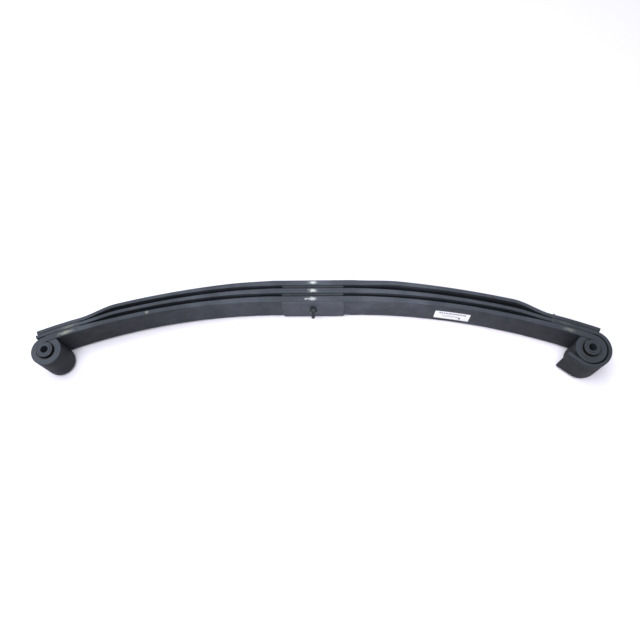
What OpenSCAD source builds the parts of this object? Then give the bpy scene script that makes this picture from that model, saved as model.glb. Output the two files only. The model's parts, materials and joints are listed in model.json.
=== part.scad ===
/* [Leaves] */
// Width of every leaf
leaf_w = 63.5; // [50:0.5:80]
// Centre bolt to front eye axis
front_l = 464; // [440:1:500]
// Centre bolt to rear eye axis
rear_l = 456; // [440:1:500]
// Depth of the arch, from the main leaf's hollow face at the seat to the eye axes
arch_h = 87.6; // [70:0.1:110]
// Half length of the straight seat in the middle of the leaves
flat_l = 70; // [60:1:90]
// Main leaf thickness at the seat
main_seat_t = 10.7; // [9:0.1:14]
// Main leaf thickness halfway along an arm
main_arm_t = 7.5; // [6:0.1:9]
// Main leaf thickness where it rolls into an eye
eye_t = 9.6; // [8:0.1:11]
// Second and third leaf thickness at the seat
leaf_seat_t = 9.4; // [8:0.1:12]
// Second and third leaf thickness at the tips
leaf_tip_t = 6.0; // [5:0.1:8]
// Space between second and main leaf along the arms
lower_gap = 6.7; // [6:0.1:9]
// Space between third and second leaf along the front arm
front_upper_gap = 9.2; // [6:0.1:10]
// Space between third and second leaf along the rear arm
rear_upper_gap = 6.8; // [6:0.1:10]
// Length along the leaf from centre bolt to the second leaf's rear tip
second_rear_l = 482; // [476:1:486]
// Length along the leaf from centre bolt to the third leaf's front tip
third_front_l = 485; // [470:1:488]
// Length along the leaf from centre bolt to the third leaf's rear tip
third_rear_l = 479; // [470:1:486]

/* [Eyes] */
// Radius of the eye bores
eye_bore_r = 16; // [14:0.5:18]
// Slit between the rolled end and the main leaf
eye_slit = 0.9; // [0.5:0.1:2]
// Angle that the second leaf wraps round the front eye
wrap_angle = 198; // [170:1:200]
// Straight run past the top of the eye before the wrap bends down
wrap_run = 0.8; // [0:0.1:3]
// Straight tail at the end of the wrap
wrap_tail = 26; // [10:1:30]

/* [Seat] */
// Length of the spacers and the base pad
pad_l = 109; // [90:1:130]
// Width of the spacers, a little less than the leaves'
spacer_w = 62.5; // [50:0.5:63]
// Thickness of the spacers between the leaves
spacer_t = 5.8; // [4:0.1:6.5]
// Thickness of the base pad
pad_t = 2.2; // [2:0.1:5]

/* [Centre bolt] */
// Bolt shank diameter
bolt_d = 6.4; // [6:0.1:8]
// Diameter of the round locating head
head_d = 16; // [14:1:20]
// Height of the locating head
head_h = 7; // [5:0.5:10]
// Nut size across its flats
nut_af = 11.1; // [10:0.1:13]
// Nut height
nut_h = 5.6; // [5:0.1:8]
// Length of thread standing past the nut
thread_end = 11; // [4:0.5:12]

/* [Eye bushes] */
// Bore of the inner tube, for the mounting bolt
tube_bore_d = 12.7; // [10:0.1:16]
// Outside diameter of the inner tube
tube_d = 20; // [18:0.5:22]
// Length of the inner tube
tube_l = 76.2; // [70:0.1:80]
// Wall of the outer sleeve
sleeve_wall = 1.6; // [1:0.1:2]
// Length of the outer sleeve
sleeve_l = 60.5; // [56:0.5:63]
// Diameter of the rubber collar that stands out of the eye
collar_d = 27.4; // [25:0.2:28]
// Length of the rubber over its collars
rubber_l = 74.8; // [66:0.2:76]

/* [Tip liners] */
// Space that a liner fills between two leaf tips
liner_gap = 1.4; // [0.8:0.1:2]
// Width of a liner
liner_w = 60; // [50:1:63]
// Length along the leaf where the liners start
liner_start = 407; // [407:1:430]

/* [Label] */
// Length of the label
label_l = 61; // [40:1:80]
// Height of the label
label_h = 30; // [20:1:40]
// Length along the leaf from centre bolt to the middle of the label
label_place = 246; // [200:1:300]
// Middle of the label below the middle of the leaf
label_drop = 5; // [0:0.5:12]
// Thickness of the label
label_t = 0.25; // [0.2:0.05:0.5]

/* [Hidden] */
$fn = 96;

FRONT = 1;
REAR = -1;
step_l = 9;           // spacing of the outline's points along an arm
least_step = 3;       // shortest last step of an outline
arm_taper_l = 340;    // length along the leaf at which its seat taper ends
eye_thick_l = 425;    // length along the main leaf at which it is as thick as its eyes
spread_l = 150;       // length along the leaf at which the spaces are fully open
close_l = 406;        // length along the leaf at which the tips lie on each other
arc_step = 5;         // degrees between the outline's points round an eye
bore_stock = 0.5;     // metal inside the eye that the bore cuts away
bite = 0.1;           // how far the bore cuts into the main leaf's hollow face
lap = 1;              // how far a cutting shape runs past what it cuts
fit = 0.02;           // clearance of parts that are pressed or bonded together
hole_play = 0.25;     // clearance round the bolt in the leaves
spot_play = 0.5;      // how far the spot faces reach past the bolt's head
spot_depth = 0.1;     // depth of the spot faces that the head and the nut sit in
roll_r = eye_bore_r - bite;
roll_out_r = roll_r + eye_t;
wrap_in_r = roll_out_r + liner_gap;
wrap_out_r = wrap_in_r + leaf_tip_t;
hole_r = bolt_d / 2 + hole_play;
spot_r = head_d / 2 + spot_play;
chamfer = 1;          // of the bolt and the rubber collars
tube_chamfer = 0.6;
groove_depth = 3;     // how far the rubber lies back between its collar and the sleeve
liner_play = 0.05;    // clearance between a liner and the leaves on both sides of it
liner_back = 3;       // how far a liner ends short of a tip
hook_l = 3;           // length of a liner's hooks along the leaf
hook_t = 0.8;
hook_h = 4.5;         // how far a hook's uprights reach up the sides of the leaf
lip_w = 4;            // width of the lips that clip a liner over the back of a leaf
hooks_w = leaf_w + 2 * (fit + hook_t);
lip_h = leaf_tip_t + liner_play + hook_t;
paint = "#3f434b";
bolt_paint = "#35383f";
liner_colour = "#24262b";

// Heights above the main leaf's hollow face at the seat
second_low = main_seat_t + spacer_t;
third_low = second_low + leaf_seat_t + spacer_t;
stack_h = third_low + leaf_seat_t;
nut_low = -stack_h - pad_t + spot_depth - nut_h;

// An arm is straight up to flat_l, then bends round one arc that meets the eye's bore
function arm_l(side) = side == FRONT ? front_l : rear_l;
function bend_run(side) = arm_l(side) - flat_l;
function bend_r(side) =
    (pow(bend_run(side), 2) + pow(arch_h, 2) - pow(roll_r, 2)) / (2 * (arch_h - roll_r));
function eye_angle(side) = asin(bend_run(side) / (bend_r(side) - roll_r));
function eye_l(side) = flat_l + bend_r(side) * eye_angle(side) * PI / 180;

// A point at length s along the main leaf's hollow face and height h above it
function bend_point(s, h, r) =
    let (a = (s - flat_l) / r * 180 / PI)
    [flat_l + (r + h) * sin(a), (r + h) * cos(a) - r];
function leaf_point(s, h, side) =
    let (p = s <= flat_l ? [s, h] : bend_point(s, h, bend_r(side)))
    [side * p[0], p[1] - stack_h];

// 0 before a, 1 after b, and a smooth run between them
function ease(s, a, b) =
    let (u = min(1, max(0, (s - a) / (b - a))))
    u * u * (3 - 2 * u);

// Parabolic taper from the seat to the arm
function taper(s) = pow(1 - min(1, max(0, (s - flat_l) / (arm_taper_l - flat_l))), 2);
function main_t(s) =
    main_arm_t + (main_seat_t - main_arm_t) * taper(s)
    + (eye_t - main_arm_t) * ease(s, arm_taper_l, eye_thick_l);
function leaf_t(s) = leaf_tip_t + (leaf_seat_t - leaf_tip_t) * taper(s);

// The spaces open past the spacers and close again before the tips
function gap(s, middle) =
    spacer_t + (middle - spacer_t) * ease(s, flat_l, spread_l)
    - (middle - liner_gap) * ease(s, arm_taper_l, close_l);
function upper_gap(side) = side == FRONT ? front_upper_gap : rear_upper_gap;
function second_at(s) = main_t(s) + gap(s, lower_gap);
function second_top(s) = second_at(s) + leaf_t(s);
function third_at(s, side) = second_top(s) + gap(s, upper_gap(side));
function third_top(s, side) = third_at(s, side) + leaf_t(s);

// Lengths from a to b in even steps, and points out to length l along a face of height h(s)
function places(a, b) = concat([for (s = [a : step_l : b - least_step]) s], [b]);
function face(l, side, h) = [for (s = places(flat_l, l)) leaf_point(s, h(s), side)];
function backwards(points) = [for (i = [len(points) - 1 : -1 : 0]) points[i]];

// Points of an arc from angle a to angle b, about an eye's axis
function arc(r, a, b) =
    let (n = ceil(abs(b - a) / arc_step))
    [for (i = [0 : n]) let (t = a + (b - a) * i / n) [r * cos(t), r * sin(t)]];

// Moves points from an eye's own frame, where the leaf arrives along X above the axis
function eye_points(points, side) =
    let (t = eye_angle(side), y = -stack_h - arch_h)
    [for (p = points) [
        side * (arm_l(side) + p[0] * cos(t) + p[1] * sin(t)), y - p[0] * sin(t) + p[1] * cos(t)
    ]];

// The rolled end of the main leaf, cut off along the leaf that it rolls back to
function roll_points(side) =
    let (
        cut_y = roll_r - eye_slit,
        in_r = eye_bore_r - bore_stock,
        in_end = -180 - asin(cut_y / in_r),
        out_end = -180 - asin(cut_y / roll_out_r)
    )
    eye_points(concat(arc(in_r, 90, in_end), arc(roll_out_r, out_end, 90)), side);

// The second leaf's front end, wrapped round the front eye with a straight tail
function tail_point(r) =
    let (a = 90 - wrap_angle)
    [r * cos(a) + wrap_tail * sin(a), r * sin(a) - wrap_tail * cos(a)];
function wrap_points() =
    let (
        inside = arc(wrap_in_r, 90, 90 - wrap_angle),
        outside = arc(wrap_out_r, 90 - wrap_angle, 90),
        wrap = concat(inside, [tail_point(wrap_in_r), tail_point(wrap_out_r)], outside)
    )
    eye_points([for (p = wrap) p + [wrap_run, 0]], FRONT);

// A leaf from its rear end to its front end, between the heights low(s, side) and top(s, side)
module leaf_body(rear_end, front_end, low, top, at_front = [], at_rear = []) {
    outline = concat(
        backwards(face(rear_end, REAR, function(s) low(s, REAR))),
        face(front_end, FRONT, function(s) low(s, FRONT)),
        at_front,
        backwards(face(front_end, FRONT, function(s) top(s, FRONT))),
        face(rear_end, REAR, function(s) top(s, REAR)),
        backwards(at_rear)
    );
    linear_extrude(height = leaf_w, center = true)
        polygon(outline);
}

// A strip that follows one arm, from length a to length b along the leaf
module arm_strip(side, a, b, low, top, width) {
    under = [for (s = places(a, b)) leaf_point(s, low(s), side)];
    over = [for (s = places(a, b)) leaf_point(s, top(s), side)];
    linear_extrude(height = width, center = true)
        polygon(concat(under, backwards(over)));
}

module at_eye(side) {
    translate([side * arm_l(side), -stack_h - arch_h, 0])
        children();
}

module bolt_hole() {
    rotate([90, 0, 0])
        cylinder(r = hole_r, h = 4 * stack_h, center = true);
}

// Cuts a spot face from height a to height b on the bolt's axis
module spot_face(a, b) {
    translate([0, a, 0])
        rotate([-90, 0, 0])
            cylinder(r = spot_r, h = b - a);
}

// A round part on the eye's axis from its outline of radius and height
module turned(outline) {
    rotate_extrude()
        polygon(outline);
}

module main_leaf() {
    color(paint)
    difference() {
        leaf_body(
            eye_l(REAR), eye_l(FRONT), function(s, side) 0, function(s, side) main_t(s),
            roll_points(FRONT), roll_points(REAR)
        );
        for (side = [REAR, FRONT])
            at_eye(side)
                cylinder(r = eye_bore_r, h = 2 * leaf_w, center = true);
        bolt_hole();
    }
}

module second_leaf() {
    color(paint)
    difference() {
        leaf_body(
            second_rear_l, eye_l(FRONT),
            function(s, side) second_at(s), function(s, side) second_top(s), wrap_points()
        );
        bolt_hole();
    }
}

module third_leaf() {
    color(paint)
    difference() {
        leaf_body(
            third_rear_l, third_front_l,
            function(s, side) third_at(s, side), function(s, side) third_top(s, side)
        );
        bolt_hole();
        spot_face(-spot_depth, lap);
    }
}

// A drilled plate of the seat, resting at height h above the main leaf's hollow face
module seat_plate(h, t, w) {
    color(paint)
    difference() {
        translate([-pad_l / 2, h - stack_h, -w / 2])
            cube([pad_l, t, w]);
        bolt_hole();
    }
}

module upper_spacer() {
    seat_plate(second_low + leaf_seat_t, spacer_t, spacer_w);
}

module lower_spacer() {
    seat_plate(main_seat_t, spacer_t, spacer_w);
}

module base_pad() {
    low = -stack_h - pad_t;
    difference() {
        seat_plate(-pad_t, pad_t, leaf_w);
        spot_face(low - lap, low + spot_depth);
    }
}

// Round-headed bolt, head on the back of the third leaf and thread out through the base pad
module centre_bolt() {
    end_h = nut_low - thread_end;
    head_r = head_d / 2;
    shank_r = bolt_d / 2;
    color(bolt_paint)
    rotate([-90, 0, 0])
        turned([
            [0, end_h], [shank_r - chamfer, end_h], [shank_r, end_h + chamfer],
            [shank_r, -spot_depth], [head_r, -spot_depth],
            [head_r, head_h - chamfer], [head_r - chamfer, head_h], [0, head_h]
        ]);
}

// Hexagon nut with both faces turned down at the corners
module centre_nut() {
    corner_r = nut_af / 2 / cos(30);
    flat_r = nut_af / 2;
    turn_h = (corner_r - flat_r) / 2;
    color(bolt_paint)
    translate([0, nut_low, 0])
        rotate([-90, 0, 0])
            difference() {
                intersection() {
                    cylinder(r = corner_r, h = nut_h, $fn = 6);
                    turned([
                        [0, 0], [flat_r, 0], [corner_r, turn_h],
                        [corner_r, nut_h - turn_h], [flat_r, nut_h], [0, nut_h]
                    ]);
                }
                translate([0, 0, -lap])
                    cylinder(r = bolt_d / 2 + fit, h = nut_h + 2 * lap);
            }
}

module label() {
    color("whitesmoke")
    translate([0, 0, -label_drop])
        arm_strip(
            FRONT, label_place - label_l / 2, label_place + label_l / 2,
            function(s) -fit - label_t, function(s) -fit, label_h
        );
}

module sleeve(side) {
    out_r = eye_bore_r - fit;
    in_r = out_r - sleeve_wall;
    end_z = sleeve_l / 2;
    color(paint)
    at_eye(side)
        turned([[in_r, -end_z], [out_r, -end_z], [out_r, end_z], [in_r, end_z]]);
}

// Rubber bonded between sleeve and tube, with a collar standing out of each end
module rubber(side) {
    tube_r = tube_d / 2 + fit;
    bond_r = eye_bore_r - fit - sleeve_wall;
    collar_r = collar_d / 2;
    end_z = rubber_l / 2;
    groove_z = sleeve_l / 2 - groove_depth;
    color(paint)
    at_eye(side)
        turned([
            [tube_r, -end_z], [collar_r - chamfer, -end_z], [collar_r, -end_z + chamfer],
            [collar_r, -groove_z], [bond_r, -groove_z], [bond_r, groove_z], [collar_r, groove_z],
            [collar_r, end_z - chamfer], [collar_r - chamfer, end_z], [tube_r, end_z]
        ]);
}

module tube(side) {
    bore_r = tube_bore_d / 2;
    out_r = tube_d / 2;
    end_z = tube_l / 2;
    color(paint)
    at_eye(side)
        turned([
            [bore_r, -end_z], [out_r - tube_chamfer, -end_z], [out_r, -end_z + tube_chamfer],
            [out_r, end_z - tube_chamfer], [out_r - tube_chamfer, end_z], [bore_r, end_z]
        ]);
}

// A thin strip between two leaf tips
module liner(side, end_l, low) {
    color(liner_colour)
    arm_strip(
        side, liner_start, end_l,
        function(s) low(s) + liner_play, function(s) low(s) + liner_gap - liner_play, liner_w
    );
}

// A bar across the leaf with an upright at each of its edges, up to height h above the liner's own
module liner_hooks(side, low, h) {
    color(liner_colour) {
        arm_strip(
            side, liner_start, liner_start + hook_l,
            function(s) low(s) + liner_play, function(s) low(s) + liner_gap - liner_play, hooks_w
        );
        for (edge = [-1, 1])
            translate([0, 0, edge * (hooks_w - hook_t) / 2])
                arm_strip(
                    side, liner_start, liner_start + hook_l,
                    function(s) low(s) + liner_play, function(s) low(s) + liner_gap + h, hook_t
                );
    }
}

// Lips at the tops of the uprights, which snap over the back of the leaf
module liner_lips(side, low) {
    color(liner_colour)
    for (edge = [-1, 1])
        translate([0, 0, edge * (hooks_w - lip_w) / 2])
            arm_strip(
                side, liner_start, liner_start + hook_l,
                function(s) low(s) + liner_gap + lip_h - hook_t,
                function(s) low(s) + liner_gap + lip_h, lip_w
            );
}

module lower_liner(side) {
    liner(side, eye_l(side) - liner_back, function(s) main_t(s));
}

module upper_liner(side, tip_l) {
    liner(side, tip_l - liner_back, function(s) second_top(s));
}

// Hooks hold this liner to the sides of the second leaf above it
module front_lower_liner() {
    lower_liner(FRONT);
    liner_hooks(FRONT, function(s) main_t(s), hook_h);
}

// Hooks with lips clip this liner right over the third leaf above it
module front_upper_liner() {
    upper_liner(FRONT, third_front_l);
    liner_hooks(FRONT, function(s) second_top(s), lip_h);
    liner_lips(FRONT, function(s) second_top(s));
}

main_leaf();
second_leaf();
third_leaf();
upper_spacer();
lower_spacer();
base_pad();
centre_bolt();
centre_nut();
label();
sleeve(FRONT);  // front_sleeve
rubber(FRONT);  // front_rubber
tube(FRONT);  // front_tube
sleeve(REAR);  // rear_sleeve
rubber(REAR);  // rear_rubber
tube(REAR);  // rear_tube
front_lower_liner();
front_upper_liner();
lower_liner(REAR);  // rear_lower_liner
upper_liner(REAR, third_rear_l);  // rear_upper_liner
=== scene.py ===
"""A three-leaf spring for the rear axle of a light truck.

It has its eye bushes, centre bolt, tip liners and label.
"""

import json
from functools import partial
from math import asin, cos, pi, radians, sin

import bmesh
import bpy
from bpy.props import FloatProperty, FloatVectorProperty, PointerProperty
from bpy.types import NodeSocket, Operator, Panel, PropertyGroup
from mathutils import Matrix, Vector


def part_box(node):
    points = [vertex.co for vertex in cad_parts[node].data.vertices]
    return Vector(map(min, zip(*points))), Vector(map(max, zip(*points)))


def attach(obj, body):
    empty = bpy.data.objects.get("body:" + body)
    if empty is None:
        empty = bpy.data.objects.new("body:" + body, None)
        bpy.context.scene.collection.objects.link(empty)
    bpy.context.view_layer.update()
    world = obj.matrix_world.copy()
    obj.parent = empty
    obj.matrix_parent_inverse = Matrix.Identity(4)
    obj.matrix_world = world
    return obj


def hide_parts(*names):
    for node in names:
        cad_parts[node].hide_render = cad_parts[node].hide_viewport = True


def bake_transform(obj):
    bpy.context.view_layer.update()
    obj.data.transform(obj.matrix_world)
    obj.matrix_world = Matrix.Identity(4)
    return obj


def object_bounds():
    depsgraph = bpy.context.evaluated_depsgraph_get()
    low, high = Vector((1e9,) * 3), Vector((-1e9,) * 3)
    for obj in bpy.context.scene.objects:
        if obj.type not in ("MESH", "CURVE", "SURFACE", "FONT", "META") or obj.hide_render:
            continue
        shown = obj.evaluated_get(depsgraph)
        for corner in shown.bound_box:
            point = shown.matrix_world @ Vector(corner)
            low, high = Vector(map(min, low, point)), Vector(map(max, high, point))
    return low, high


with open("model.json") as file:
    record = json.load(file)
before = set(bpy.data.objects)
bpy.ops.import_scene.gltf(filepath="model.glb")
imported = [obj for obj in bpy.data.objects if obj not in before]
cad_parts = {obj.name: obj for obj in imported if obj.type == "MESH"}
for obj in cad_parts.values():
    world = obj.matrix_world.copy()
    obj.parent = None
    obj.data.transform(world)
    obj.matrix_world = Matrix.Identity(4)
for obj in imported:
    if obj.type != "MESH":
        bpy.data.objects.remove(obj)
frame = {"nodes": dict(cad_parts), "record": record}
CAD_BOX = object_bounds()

bl_info = {
    "name": "Leaf spring",
    "version": (1, 0, 0),
    "blender": (4, 5, 0),
    "location": "3D View > Sidebar > Leaf spring",
    "description": "Builds a three-leaf spring piece by piece, with its finishes and a plain studio",
    "category": "Object",
}

MM = 0.001
FRONT, REAR = 1, -1
SIDE_NAMES = {FRONT: "front", REAR: "rear"}
LEAF_STEP = 8 * MM  # spacing of a leaf's rings along an arm
TURN_STEP = radians(4)  # angle between rings round an eye
SPIN_STEPS = 96  # steps of a full turn on a turned piece
SHARP_ANGLE = radians(38)  # a crease sharper than this isn't smoothed over
ROUND_STEPS = 5  # segments of a rounded corner or edge
THREAD_STEPS = 32  # steps of one turn of the thread
SAME_PLACE = 1e-6  # points closer than this are one point
MOUNTS = {mount["name"]: mount for mount in frame["record"]["mounts"]}

# One thread tooth's outline, as shares of its depth and of the pitch.
TOOTH = [(0.0, 0.0), (1.0, 0.31), (1.0, 0.44), (0.0, 0.75), (0.0, 1.0)]

# Scuffs down to the steel on the upper side edges of the main leaf and of the second leaf: the
# arm, the length along it in mm, half the scuff's length in mm and how bare it is.
MAIN_SCUFFS = [(REAR, 432, 11, 0.9), (FRONT, 438, 8, 0.7), (REAR, 290, 3, 0.6)]
SECOND_SCUFFS = [(REAR, 424, 12, 0.3), (FRONT, 430, 8, 0.12)]

# Printed lines and a dot under the label's row of bars: length from the label's start, height
# over the leaf's middle, half length and half height in mm, strength, and whether it is round.
PRINTED = [
    (24, -6.0, 12, 0.9, 0.8, False),
    (24, -10.2, 10, 0.9, 0.7, False),
    (39.5, -8.6, 3.2, 1.6, 0.8, False),
    (44.5, -12.4, 1.9, 4.2, 1.0, True),
]


def length(name, description, default_mm):
    return FloatProperty(
        name=name, description=description, default=default_mm * MM, unit="LENGTH", precision=5
    )


def angle(name, description, default_deg):
    return FloatProperty(
        name=name, description=description, default=radians(default_deg), subtype="ANGLE"
    )


def linear(srgb_hex):
    """The linear colour of an sRGB hex value."""
    parts = [int(srgb_hex[i : i + 2], 16) / 255 for i in (1, 3, 5)]
    return [p / 12.92 if p <= 0.04045 else ((p + 0.055) / 1.055) ** 2.4 for p in parts]


def colour(name, description, srgb_hex):
    return FloatVectorProperty(
        name=name, description=description, default=linear(srgb_hex), subtype="COLOR"
    )


def place(name, description, default_m):
    return FloatVectorProperty(
        name=name, description=description, default=default_m, subtype="TRANSLATION", precision=4
    )


def tint(name, description, default_rgb):
    """A light's colour, which is linear as it stands."""
    return FloatVectorProperty(
        name=name, description=description, default=default_rgb, subtype="COLOR"
    )


def across(node, axis):
    """How far a CAD node reaches along one axis, in millimetres."""
    low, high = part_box(node)
    return (high[axis] - low[axis]) / MM


class LeafSizes(PropertyGroup):
    """The three leaves and the lines that they follow."""

    width: length("Width", "Width of every leaf", across("third_leaf", 2))
    edge_r: length("Edge radius", "Radius of a leaf's rolled side edges", 1.1)
    end_r: length("End radius", "Rounding where a leaf is cut off", 0.5)
    flat_l: length("Seat length", "Half length of the straight seat", 70)
    arch_h: length("Arch", "Depth from the main leaf's seat to the eye axes", 87.6)
    main_seat_t: length("Main at seat", "Main leaf thickness at the seat", 10.7)
    main_arm_t: length("Main on arm", "Main leaf thickness halfway along an arm", 7.5)
    eye_t: length("Main at eye", "Main leaf thickness round its eyes", 9.6)
    seat_t: length("Leaves at seat", "Second and third leaf thickness at the seat", 9.4)
    tip_t: length("Leaves at tip", "Second and third leaf thickness at the tips", 6)
    taper_l: length("Taper end", "Length along a leaf at which its seat taper ends", 340)
    eye_thick_l: length("Eye taper", "Length at which the main leaf is as thick as its eyes", 425)
    spread_l: length("Spread", "Length at which the spaces between the leaves are open", 150)
    close_l: length("Close", "Length at which the tips lie on each other", 406)
    lower_gap: length("Lower space", "Space between second and main leaf along the arms", 6.7)
    front_gap: length("Front upper space", "Space between third and second leaf in front", 9.2)
    rear_gap: length("Rear upper space", "Space between third and second leaf behind", 6.8)
    liner_gap: length("Liner space", "Space that a liner fills between two tips", 1.4)
    second_rear_l: length("Second leaf, rear", "Length along the leaf to its rear tip", 482)
    third_front_l: length("Third leaf, front", "Length along the leaf to its front tip", 485)
    third_rear_l: length("Third leaf, rear", "Length along the leaf to its rear tip", 479)
    bore_r: length("Eye bore", "Radius of the rolled eyes' bores", 16)
    slit: length("Eye slit", "Slit between a rolled end and the leaf it comes back to", 0.9)
    wrap_turn: angle("Wrap", "Angle that the second leaf wraps round the front eye", 198)
    wrap_run: length("Wrap run", "Straight run past the top of the eye before the wrap", 0.8)
    wrap_tail: length("Wrap tail", "Straight tail at the end of the wrap", 26)


class SeatSizes(PropertyGroup):
    """Spacers, base pad and the centre bolt through them."""

    spacer_t: length("Spacer", "Thickness of the spacers", across("upper_spacer", 1))
    corner_r: length("Corner radius", "Radius of the plates' corners", 2.5)
    pad_edge_r: length("Pad edge", "Rounding of the base pad's edges", 0.7)
    spacer_edge_r: length("Spacer edge", "Rounding of the spacers' rolled edges", 1.9)
    bolt_r: length("Bolt radius", "Radius of the bolt's thread", 3.2)
    bolt_play: length("Bolt play", "Space between the bolt and the plates' holes", 0.25)
    pitch: length("Thread pitch", "Pitch of the bolt's thread", 1.27)
    thread_deep: FloatProperty(
        name="Thread depth", description="Depth of the thread over its pitch", default=0.6
    )
    head_r: length("Head radius", "Radius of the bolt's round head", 8)
    head_h: length("Head height", "Height of the bolt's round head", 7)
    head_edge_r: length("Head edge", "Rounding of the bolt's head", 1.6)


class BushSizes(PropertyGroup):
    """A rubber bush with its steel sleeve and tube."""

    bore_r: length("Tube bore", "Radius of the inner tube's bore", 6.35)
    tube_r: length("Tube radius", "Outer radius of the inner tube", 10)
    tube_l: length("Tube length", "Length of the inner tube", across("front_tube", 2))
    sleeve_r: length("Sleeve radius", "Outer radius of the outer sleeve", 15.98)
    sleeve_wall: length("Sleeve wall", "Wall of the outer sleeve", 1.6)
    sleeve_l: length("Sleeve length", "Length of the outer sleeve", across("front_sleeve", 2))
    collar_r: length("Collar radius", "Radius of the rubber collars", 13.7)
    rubber_l: length("Rubber length", "Length over the rubber collars", across("front_rubber", 2))
    groove: length("Groove", "Depth of the groove between a collar and the sleeve", 3)
    collar_edge_r: length("Collar edge", "Rounding of the rubber collars", 1.6)
    rim_r: length("Outer rims", "Rounding of the tube's and sleeve's outer rims", 0.5)
    lip_r: length("Inner rims", "Rounding of the tube's and sleeve's inner rims", 0.4)
    tube_play: length("Tube play", "Space between the inner tube and the rubber", 0.02)


class LabelSizes(PropertyGroup):
    """The sticker on the front arm's hollow face."""

    place: length("Place", "Length along the leaf to the label's middle", 246)
    long: length("Length", "Length of the label", 61)
    drop: length("Drop", "Middle of the label below the middle of the leaf", 5)
    clear: length("Clearance", "Space between the label and the leaf", 0.02)
    thick: length("Thickness", "Thickness of the film", 0.25)
    corner_r: length("Edge radius", "Rounding of the film's edges", 0.1)
    bar_pitch: length("Bar spacing", "Distance from one printed bar to the next", 3.1)


class Finishes(PropertyGroup):
    """Colours of the spring's finishes."""

    paint: colour("Paint", "Chassis paint", "#262930")
    paint_thin: colour("Thin paint", "Chassis paint where it is thinner", "#32363d")
    # Drawn darker than the leaves' paint as painted shade in the recess between the leaves.
    spacer: colour("Spacer", "Chassis paint on the spacers", "#1d1f24")
    pad: colour("Base pad", "Chassis paint on the base pad", "#363a42")
    mark: colour("Paint mark", "Thin white marking paint over the centre bolt", "#8f9292")
    bare: colour("Bare steel", "Steel where the paint is scuffed off", "#75746d")
    bolt: colour("Bolt", "Phosphated steel of the bolt and nut", "#2b2d31")
    rubber: colour("Rubber", "Rubber under a coat of overspray", "#262930")
    # Near-black: bare rubber on the collars' sides, and the colour of painted shade along the plates'
    # seams and over the nut.
    bare_rubber_and_shade: colour("Bare rubber", "Rubber that the paint didn't reach", "#08080a")
    # Also the dark that painted shade mixes in on the leaves' faces and round the front eye.
    primer_and_shade: colour("Primer", "Bonding primer on the bush sleeves", "#191b1f")
    nylon: colour("Nylon", "Liners between the tips", "#0b0c0e")
    label: colour("Label", "Label stock", "#c3c5c7")
    ink: colour("Ink", "Printing on the label", "#23252a")
    floor: colour("Floor", "Studio floor", "#bdbac2")


class StageSizes(PropertyGroup):
    """Camera, floor and lights."""

    lens: FloatProperty(name="Lens", description="Camera's focal length in mm", default=34.28)
    camera_at: place("Camera", "Place of the camera", (0.0512, -0.4615, 1.00235))
    camera_aim: place("Aim", "Place that the camera looks at", (0.0121, -0.0631, 0.0))
    roll: angle("Roll", "Camera's roll about its own axis", -5.537)
    floor_l: length("Floor", "Side of the studio floor", 12000)
    sky: tint("Sky", "Colour of the light from all round", (0.93, 0.95, 1.0))
    sky_strength: FloatProperty(name="Sky strength", description="Light from all round", default=0.5)
    key_at: place("Key light", "Place of the large light overhead", (-0.35, -0.2, 2.6))
    key_tint: tint("Key colour", "Colour of the light overhead", (0.95, 0.985, 1.0))
    key_watts: FloatProperty(name="Key power", description="Watts of the light overhead", default=175)
    fill_at: place("Fill light", "Place of the small light on the hollow side", (0.1, -0.8, 0.75))
    fill_aim: place("Fill aim", "Place that the small light points at", (0.1, -0.03, 0.0))
    fill_tint: tint("Fill colour", "Colour of the small light", (1.0, 0.96, 0.98))
    fill_watts: FloatProperty(name="Fill power", description="Watts of the small light", default=0.8)
    fill_spread: angle("Fill spread", "Angle that the small light spreads over", 45)


def sizes(group):
    return getattr(bpy.context.scene, "leaf_spring_" + group)


class LeafLine:
    """One arm of the main leaf's hollow face: straight, then one arc, then round the eye."""

    def __init__(self, side):
        leaf = sizes("leaves")
        eye = MOUNTS[SIDE_NAMES[side] + "_eye_bore"]["pos_m"]
        self.side = side
        self.flat_l, self.bore_r = leaf.flat_l, leaf.bore_r
        self.eye_x, self.eye_y = abs(eye[0]), eye[1]
        self.seat_y = eye[1] + leaf.arch_h
        run = self.eye_x - leaf.flat_l
        self.bend_r = (run**2 + leaf.arch_h**2 - leaf.bore_r**2) / (
            2 * (leaf.arch_h - leaf.bore_r)
        )
        self.eye_angle = asin(run / (self.bend_r - leaf.bore_r))
        self.eye_l = leaf.flat_l + self.bend_r * self.eye_angle

    def along(self, s, h):
        """The place at length s along the leaf and height h above the hollow face."""
        if s <= self.flat_l:
            return self.side * s, self.seat_y + h
        turn = (s - self.flat_l) / self.bend_r
        reach = self.bend_r + h
        x = self.flat_l + reach * sin(turn)
        return self.side * x, self.seat_y + reach * cos(turn) - self.bend_r

    def round_eye(self, turn, h, tail=0.0):
        """The place past the eye's top by an angle, and then by a straight tail."""
        turn += self.eye_angle
        reach = self.bore_r + h
        x = self.eye_x + reach * sin(turn) + tail * cos(turn)
        return self.side * x, self.eye_y + reach * cos(turn) - tail * sin(turn)


def ease(s, start, end):
    """0 before start, 1 after end and a smooth run between them."""
    u = min(1.0, max(0.0, (s - start) / (end - start)))
    return u * u * (3 - 2 * u)


def taper(s):
    """Share of the seat's extra thickness that is left at length s."""
    leaf = sizes("leaves")
    return (1 - min(1.0, max(0.0, (s - leaf.flat_l) / (leaf.taper_l - leaf.flat_l)))) ** 2


def main_t(s):
    leaf = sizes("leaves")
    arm = leaf.main_arm_t + (leaf.main_seat_t - leaf.main_arm_t) * taper(s)
    return arm + (leaf.eye_t - leaf.main_arm_t) * ease(s, leaf.taper_l, leaf.eye_thick_l)


def leaf_t(s):
    leaf = sizes("leaves")
    return leaf.tip_t + (leaf.seat_t - leaf.tip_t) * taper(s)


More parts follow.
